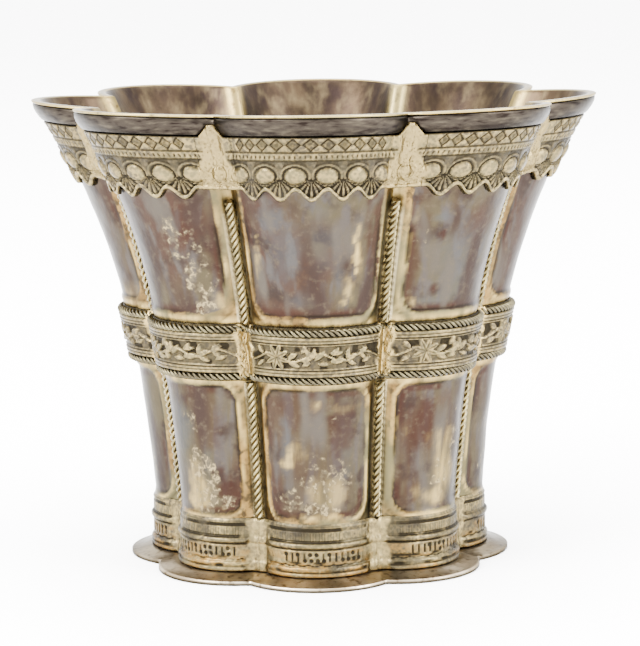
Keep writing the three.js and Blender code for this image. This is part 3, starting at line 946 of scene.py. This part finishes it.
def petals(x, z, count, length, width, turn=0.0):
    """A flower of leaf-shaped petals round a point: how high each place stands, from 0 to 1."""
    radius, angle = np.hypot(x, z), np.arctan2(z, x) + turn
    step = 2 * math.pi / count
    local = (angle + step / 2) % step - step / 2
    across = radius * np.sin(local)
    along = radius * np.cos(local)
    swell = width * np.sin(np.clip(along / length, 0, 1) * math.pi) ** 0.8 + 1e-6
    return np.where(along < length, np.clip(1 - (across / swell) ** 2, 0, 1), 0)


def leaf(x, z, at, length, width, turn_degrees):
    """A pointed leaf with its stalk end at a place, growing in a direction."""
    turn = math.radians(turn_degrees)
    along = (x - at[0]) * math.cos(turn) + (z - at[1]) * math.sin(turn)
    across = -(x - at[0]) * math.sin(turn) + (z - at[1]) * math.cos(turn)
    share = np.clip(along / length, 0, 1)
    swell = width * np.sin(share * math.pi) ** 0.7 + 1e-6
    return np.where((along > 0) & (along < length), np.clip(1 - (across / swell) ** 2, 0, 1), 0)


def foliage(x, z):
    """Chased leaves and one flower to each lobe, and the veins in them."""
    rise = petals(x + FLOWER_SHIFT, z, FLOWER_PETALS, *PETAL, FLOWER_TURN)
    veins = petals(x + FLOWER_SHIFT, z, FLOWER_PETALS, *VEIN, FLOWER_TURN)
    stem = near(z - STEM_SWING * np.sin(STEM_TURN * x + STEM_START), 0.55)
    rise = np.maximum(rise, 0.7 * stem)
    for across, up, length, width, turn in LEAVES:
        rise = np.maximum(rise, leaf(x, z, (across, up), length, width, turn))
        vein = leaf(x, z, (across, up), length * 0.8, width * 0.22, turn)
        veins = np.maximum(veins, vein * 0.7)
    return rise, veins


def make_belt(material):
    """The waist belt, with foliage on a sunk dark ground and pebbled metal in the valleys."""
    columns, lobe = lobe_columns(BELT_COLUMNS)
    z = np.append(spaced(BELT_FOOT, BELT_TOP + 0.01, BAND_ROWS), BELT_TOP)[:, None]
    reach = half_length(np.full_like(z, BELT_MIDDLE))
    x = columns[0][None, :] * reach
    height = z - BELT_MIDDLE
    half = (BELT_TOP - BELT_FOOT) / 2
    field_half = half - BELT_INSET - 0.9
    rise, veins = foliage(x, height)
    to_valley = reach - np.abs(x)
    wander = uneven(x + 60 * lobe, z, 1.4, 31, 1.2)
    plain = smooth(2.6, 1.4, to_valley + wander)
    in_field = between(-field_half, field_half, height, 0.12)
    ground = in_field * (1 - smooth(0.1, 0.5, rise))
    outline = in_field * near(rise - 0.12, 0.3)
    deep = patches(0.5, 0.66, x + 50 * lobe, z, 1.7, 33)
    cut = ground * (0.25 + 0.6 * deep) + veins * in_field * 0.7
    cut = np.maximum(cut, outline * 0.7)
    for line in (field_half + 0.35, field_half + 1.05):
        cut = np.maximum(cut, near(np.abs(height) - line, LINE) * 0.85)
    under_rope = smooth(half - ROPE - 0.35, half - ROPE, np.abs(height))
    cut = np.maximum(cut, under_rope * 0.8) * (1 - plain)
    sunk = (0.35 * ground + 0.55 * under_rope - 0.12 * rise * in_field) * (1 - plain)
    edge = 0.7 * smooth(half - ROPE * 0.7, half, np.abs(height))
    lumps = uneven(x + 40 * lobe, z, 1.2, 35, 0.3) * plain
    out = BELT_PROUD - sunk - 0.22 * cut - edge + lumps
    front = lobed_points(columns, z, wall_plan(z), out, -BELT_PINCH * smooth(PINCH_WIDTH, 0.0, to_valley))
    back = lobed_points(columns, z[[-1, 0]], wall_plan(z[[-1, 0]]), SEAM)
    pale = np.clip(0.65 - 0.45 * ground + 0.2 * rise * in_field + plain, 0, 1)
    fields = {"cut": cut, "pale": pale, "pebble": plain}
    make_band("waist_belt_chased", "waist_belt", material, front, back, fields)


# The base band

# Chased lines of the base band: mm above its foot, strength
BAND_LINES = [(0.85, 0.8), (5.65, 0.9), (7.2, 1.0), (7.55, 0.9), (9.7, 1.0), (10.05, 0.9), (10.6, 0.6)]
WAVY_LINE = 2.35

# Its two rolls: mm above its foot, mm that they stand out
BAND_ROLLS = [(1.4, 0.5), (6.6, 0.45)]
ROLL_HALF_HEIGHT = 0.7

# Dark bars that wear has broken: mm above its foot, half height
BROKEN_BARS = [(1.2, 0.45), (2.9, 0.3)]

# A milled row, between two heights above its foot
MILLED_FOOT, MILLED_HEAD = 7.65, 9.4
MILLED_PITCH = 0.62

# A row of short strokes
MARKS = 13
MARK_PITCH = 1.35
MARK_SHIFT = 1.2
MARK_HEIGHT = 4.1


def marks(x, z, lobe, middle):
    """A row of short punched strokes that spell nothing: a bar, a bar with a foot or head, or two dots."""
    x = x - MARK_SHIFT
    cell = np.round(x / MARK_PITCH)
    kind = np.random.default_rng(5).integers(0, 4, (LOBES, MARKS + 2))
    column = np.clip(cell + (MARKS + 1) // 2, 0, MARKS + 1).astype(int)
    chosen = kind[lobe, column]
    across, up = x - cell * MARK_PITCH, z - middle
    bar = smooth(0.34, 0.2, np.abs(across)) * smooth(1.05, 0.85, np.abs(up))
    foot = smooth(0.6, 0.42, np.hypot(across - 0.12, up + 0.65))
    head = smooth(0.6, 0.42, np.hypot(across + 0.12, up - 0.6))
    shapes = [bar, np.maximum(bar * 0.8, foot), np.maximum(foot, head), np.maximum(bar, head)]
    return np.choose(chosen, shapes) * (np.abs(cell) <= MARKS // 2)


def make_base_band(material):
    """The moulded band round the base, with its rolls, chased lines and row of strokes."""
    columns, lobe = lobe_columns(BAND_COLUMNS)
    z = np.append(spaced(BAND_FOOT, BAND_TOP, BAND_ROWS), BAND_TOP)[:, None]
    plan = (np.full_like(z, BAND_TIP), np.full_like(z, BAND_VALLEY))
    arc = lobe_arc(plan, 0.0)
    reach = arc[1] * arc[2]
    x = columns[0][None, :] * reach
    to_valley = reach - np.abs(x)
    wander = uneven(x + 60 * lobe, z, 1.6, 41, 1.4)
    plain = smooth(3.6, 2.4, to_valley + wander)
    up = z - BAND_FOOT
    out = np.zeros(x.shape)
    for roll_z, rise in BAND_ROLLS:
        out += rise * dome((up - roll_z) / ROLL_HALF_HEIGHT)
    out = np.where(up < BAND_ROLLS[0][0], BAND_ROLLS[0][1], out)
    ripple = 0.12 * np.sin(x * 2.4 + lobe)
    cut = near(up - WAVY_LINE - ripple, LINE) * 0.9
    for line, depth in BAND_LINES:
        cut = np.maximum(cut, near(up - line, LINE + 0.05) * depth)
    notch = smooth(0.16, 0.05, np.abs((x / MILLED_PITCH) % 1 - 0.5) * MILLED_PITCH)
    cut = np.maximum(cut, between(MILLED_FOOT, MILLED_HEAD, up, 0.1) * notch * 0.6)
    cut = np.maximum(cut, between(MILLED_FOOT - 0.15, MILLED_HEAD + 0.2, up, 0.15) * 0.3)
    worn = patches(0.5, 0.8, x + 50 * lobe, z, 3.2, 43)
    cut = cut * (1 - 0.5 * worn)
    for bar_z, half_bar in BROKEN_BARS:
        broken = patches(0.35, 0.85, x + 50 * lobe, 0.6 * z + bar_z, 2.2, 48)
        cut = np.maximum(cut, between(bar_z - half_bar, bar_z + half_bar, up, 0.35) * broken)
    cut = np.maximum(cut, marks(x, z, lobe, BAND_FOOT + MARK_HEIGHT) * 0.9) * (1 - plain)
    out = (out - 0.2 * cut) * (1 - 0.7 * plain)
    out = out - 0.5 * smooth(BAND_TOP - BAND_FOOT - 0.9, BAND_TOP - BAND_FOOT, up) ** 2
    out = out + uneven(x + 40 * lobe, z, 1.6, 45, 0.22) * plain
    fill = BAND_FILL * smooth(2.6, 0.0, to_valley) + BAND_SOFTENING * smooth(1.4, 0.0, to_valley)
    front = lobed_points(columns, z, plan, out, fill)
    back = lobed_points(columns, z[[-1, 0]], wall_plan(z[[-1, 0]]), SEAM)
    streaked = patches(0.35, 0.6, 0.5 * x + 50 * lobe, 2.5 * z, 2.2, 44)
    gilt = np.maximum(smooth(3.6, 2.6, up), 0.6 * between(3.4, 5.4, up, 0.3)) * streaked * (1 - plain)
    pale = np.maximum(0.9 * mottle(x + 50 * lobe, z, 4, 47), 0.8 * plain)
    fields = {"cut": cut, "pale": pale, "pebble": 0.15 * plain, "gilt": gilt}
    make_band("base_band_chased", "base_band", material, front, back, fields)


# The foot plate

# Its rounded edge: mm above the underside, share of the full width, darkness
PLATE_EDGE = [
    (0.0, 0.86, 0.95), (0.0, 0.99, 0.95), (0.12, 1.0, 0.95),
    (0.45 * FLANGE_EDGE, 1.0, 0.95), (FLANGE_EDGE - 0.15, 1.0, 0.15), (FLANGE_EDGE, 0.995, 0.15),
]
PLATE_RISE_RINGS = 12
# How dark the painted shade is at the plate's left and right sides
SIDE_SHADE = 0.75


def make_foot_plate(material):
    """The thin lobed plate, which rises in a soft hollow from its edge to the seat of the band."""
    columns, _ = lobe_columns(PLATE_COLUMNS)
    share, angle = columns
    levels = [(z, FLANGE_TIP * scale, FLANGE_VALLEY * scale, dark) for z, scale, dark in PLATE_EDGE]
    for step in np.linspace(0.08, 1, PLATE_RISE_RINGS):
        sag = 1 - math.cos(step * math.pi / 2)
        z = FLANGE_EDGE + (PLATE_TOP - FLANGE_EDGE) * (0.35 * step + 0.65 * sag)
        tip = FLANGE_TIP + (SEAT_TIP - FLANGE_TIP) * step
        valley = FLANGE_VALLEY + (SEAT_VALLEY - FLANGE_VALLEY) * step
        levels.append((z, tip, valley, 0.0 if step < 0.9 else 0.1))
    z, tip, valley, dark = (np.array(values)[:, None] for values in zip(*levels))
    rings = lobed_points(columns, z + 0 * share, (tip, valley), 0.0)
    # Painted shade at the left and right sides as the camera sees them
    to_side = np.abs(np.cos(angle)) ** 2
    fields = {"dark": np.maximum(dark, SIDE_SHADE * to_side[None, :])}
    mesh = ring_mesh("foot_plate_rounded", rings, False, fields)
    put_in_scene(mesh, material, ["foot_plate"])


# Twisted wires and ropes: a tree of geometry nodes sweeps a bundle of strands along a path and twists it

# Inputs of the tree with their first values
ROPE_INPUTS = [
    ("Geometry", "NodeSocketGeometry", None),
    ("Strand radius", "NodeSocketFloat", 0.0005),
    ("Bundle radius", "NodeSocketFloat", 0.0005),
    ("Lay", "NodeSocketFloat", 0.005),
    ("Step", "NodeSocketFloat", 0.0003),
    ("Strands", "NodeSocketInt", 3),
    ("Sides", "NodeSocketInt", 10),
    ("Material", "NodeSocketMaterial", None),
]


def rope_tree():
    """Round strands side by side in a ring, swept along a path that turns once in each lay."""
    tree = bpy.data.node_groups.new("twisted strands", "GeometryNodeTree")
    for name, kind, value in ROPE_INPUTS:
        socket = tree.interface.new_socket(name, in_out="INPUT", socket_type=kind)
        if value is not None:
            socket.default_value = value
    tree.interface.new_socket("Geometry", in_out="OUTPUT", socket_type="NodeSocketGeometry")
    given = tree.nodes.new("NodeGroupInput").outputs
    add = partial(add_node, tree)
    path = add("resample", add("mesh to curve", given["Geometry"]), given["Step"])
    turns = add("divide", add("length along"), given["Lay"])
    twisted = add("tilt", path, add("multiply", turns, 2 * math.pi))
    centres = add("ring of points", given["Strands"], given["Bundle radius"])
    strand = add("circle", given["Sides"], given["Strand radius"])
    profile = add("realize", add("copies", centres, strand))
    whole = add("add", given["Strand radius"], given["Bundle radius"])
    share = add("divide", add("distance", add("position")), whole)
    marked = add("store", profile, "crest", share)
    swept = add("realize", add("sweep", twisted, marked, True))
    add("result", add("set material", swept, given["Material"]))
    return tree


def sweep_strands(tree, name, points, closed, material, sizes):
    """Bakes strands along a path of points into a plain mesh."""
    edges = [[i, i + 1] for i in range(len(points) - 1)]
    if closed:
        edges.append([len(points) - 1, 0])
    path = bpy.data.meshes.new(name + "_path")
    path.from_pydata((np.asarray(points) * MM).tolist(), edges, [])
    holder = bpy.data.objects.new(name + "_path", path)
    bpy.context.scene.collection.objects.link(holder)
    modifier = holder.modifiers.new("strands", "NODES")
    modifier.node_group = tree
    for item in tree.interface.items_tree:
        if item.in_out == "INPUT" and item.name in sizes:
            modifier[item.identifier] = sizes[item.name]
        if item.in_out == "INPUT" and item.name == "Material":
            modifier[item.identifier] = material
    holder.update_tag()
    evaluated = holder.evaluated_get(bpy.context.evaluated_depsgraph_get())
    mesh = bpy.data.meshes.new_from_object(evaluated)
    mesh.name = name
    holder.modifiers.remove(modifier)
    bpy.data.objects.remove(holder)
    return mesh


def strand_sizes(diameter, lay, sides=10, strands=3, step=0.3):
    """Strands that fill a round bundle of a diameter."""
    packed = math.sin(math.pi / strands)
    bundle = diameter / 2 / (1 + packed)
    return {
        "Strand radius": bundle * packed * MM * STRAND_MELD,
        "Bundle radius": bundle * MM,
        "Lay": lay * MM,
        "Step": step * MM,
        "Strands": strands,
        "Sides": sides,
    }


def valley_points(low, high, side, count=40):
    """Distance from the axis and height along a wire of this radius that lies in a valley."""
    z = np.linspace(low, high, count)
    crease = lobe_arc(wall_plan(z), side + SEAM)[3]
    rise = np.maximum(0, z - BELT_TOP) / (RIM - BELT_TOP)
    return crease, z - RIM_DIP * rise**2


def make_wires(tree, material):
    """A twisted wire in each valley, above the belt and below it."""
    sizes = strand_sizes(WIRE, WIRE_LAY)
    for name, (low, high) in (("upper_wire", UPPER_WIRE), ("lower_wire", LOWER_WIRE)):
        radius, z = valley_points(low + 0.05, high - 0.05, WIRE / 2)
        for valley in range(LOBES):
            angle = FIRST_LOBE + HALF_LOBE + 2 * HALF_LOBE * valley
            points = np.stack([radius * math.cos(angle), radius * math.sin(angle), z], axis=-1)
            node = f"{name}_{valley + 1}"
            mesh = sweep_strands(tree, node + "_twisted", points, False, material, sizes)
            put_in_scene(mesh, material, [node])


# Height at which the way along the wall to a valley is measured for the ropes
ROPE_MEASURE = 49.0


def make_belt_ropes(tree, material):
    """The rope edges of the belt, chased in one with it."""
    columns, _ = lobe_columns(ROPE_COLUMNS)
    share = columns[0]
    to_valley = (1 - np.abs(share)) * half_length(ROPE_MEASURE)
    fill = -BELT_PINCH * smooth(PINCH_WIDTH, 0.0, to_valley)
    inset = ROPE / 2 + 0.2
    for name, z in (("belt_rope_upper", BELT_TOP - inset), ("belt_rope_lower", BELT_FOOT + inset)):
        level = np.full(share.shape, z)
        points = lobed_points(columns, level, wall_plan(level), BELT_PROUD - ROPE / 2 - 0.05, fill)
        length = np.linalg.norm(points - np.roll(points, 1, axis=0), axis=1).sum()
        lay = length / round(length / ROPE_LAY)
        mesh = sweep_strands(tree, name, points, True, material, strand_sizes(ROPE, lay, 8))
        put_in_scene(mesh, material, [])


# Camera, light and floor


def make_camera():
    """The photographer's camera, nearly level with the rim. The cup's turn is given to the camera instead."""
    forward = Vector((math.sin(VIEW_YAW), math.cos(VIEW_PITCH), -math.sin(VIEW_PITCH)))
    right = Vector((math.cos(VIEW_YAW), -math.sin(VIEW_YAW), 0))
    up = right.cross(forward).normalized()
    forward = up.cross(right).normalized()
    rolled_right = right * math.cos(VIEW_ROLL) + up * math.sin(VIEW_ROLL)
    rolled_up = up * math.cos(VIEW_ROLL) - right * math.sin(VIEW_ROLL)
    axes = Matrix((rolled_right, rolled_up, -forward)).transposed().to_4x4()
    stand = Matrix.Translation(Vector((0, -VIEW_DISTANCE, VIEW_HEIGHT)) * MM)
    data = bpy.data.cameras.new("camera")
    data.lens, data.sensor_width = LENS, SENSOR
    data.clip_start, data.clip_end = 0.01, 20
    camera = bpy.data.objects.new("camera", data)
    bpy.context.scene.collection.objects.link(camera)
    camera.matrix_world = Matrix.Rotation(VIEW_TURN, 4, "Z") @ stand @ axes
    bpy.context.scene.camera = camera

FLOOR_HALF_SIZE = 8.0
STUDIO_BRIGHTNESS = 11.2

# Soft boxes, turned to the middle of the cup: name, place, width and height in metres, power in watts
CUP_MIDDLE = (0, 0, 0.05)
SOFT_BOXES = [
    ("soft box left", (-0.9, -0.7, 0.8), 0.8, 0.8, 110),
    ("soft box right", (0.9, -0.5, 0.5), 0.5, 0.9, 55),
    ("soft box above", (0, 0.2, 1.3), 1.2, 1.2, 80),
]


def make_floor():
    """A flat sheet of white paper that reaches far beyond the cup."""
    half = FLOOR_HALF_SIZE
    mesh = bpy.data.meshes.new("floor")
    corners = [(-half, -half, 0), (half, -half, 0), (half, half, 0), (-half, half, 0)]
    mesh.from_pydata(corners, [], [(0, 1, 2, 3)])
    floor = bpy.data.objects.new("floor", mesh)
    bpy.context.scene.collection.objects.link(floor)
    material = bpy.data.materials.new("white paper")
    material.use_nodes = True
    shader = material.node_tree.nodes["Principled BSDF"]
    shader.inputs["Base Color"].default_value = (0.93, 0.93, 0.93, 1)
    shader.inputs["Roughness"].default_value = 0.9
    mesh.materials.append(material)


def make_light():
    """An even pale studio with three soft boxes."""
    world = bpy.data.worlds.new("studio")
    world.use_nodes = True
    background = world.node_tree.nodes["Background"]
    background.inputs["Color"].default_value = linear("#F4F4F4")
    background.inputs["Strength"].default_value = STUDIO_BRIGHTNESS
    bpy.context.scene.world = world
    for name, place, width, height, power in SOFT_BOXES:
        data = bpy.data.lights.new(name, "AREA")
        data.shape = "RECTANGLE"
        data.size, data.size_y = width, height
        data.energy = power
        lamp = bpy.data.objects.new(name, data)
        bpy.context.scene.collection.objects.link(lamp)
        lamp.location = place
        lamp.rotation_euler = (Vector(CUP_MIDDLE) - Vector(place)).to_track_quat("-Z", "Y").to_euler()


make_camera()
make_floor()
make_light()

silver = tarnished_silver()
chased = chased_silver()
wire = wire_silver("twisted gilt wire", "#675E40", "#4F472F", "#6A5B3D")
rope_edge = wire_silver("chased rope edge, tarnished", "#4C4632", "#353023", "#1E1A12")
plate = gilt_plate()
strands = rope_tree()

make_beaker(silver)
make_frieze(chased)
make_belt(chased)
make_base_band(chased)
make_foot_plate(plate)
make_wires(strands, wire)
make_belt_ropes(strands, rope_edge)
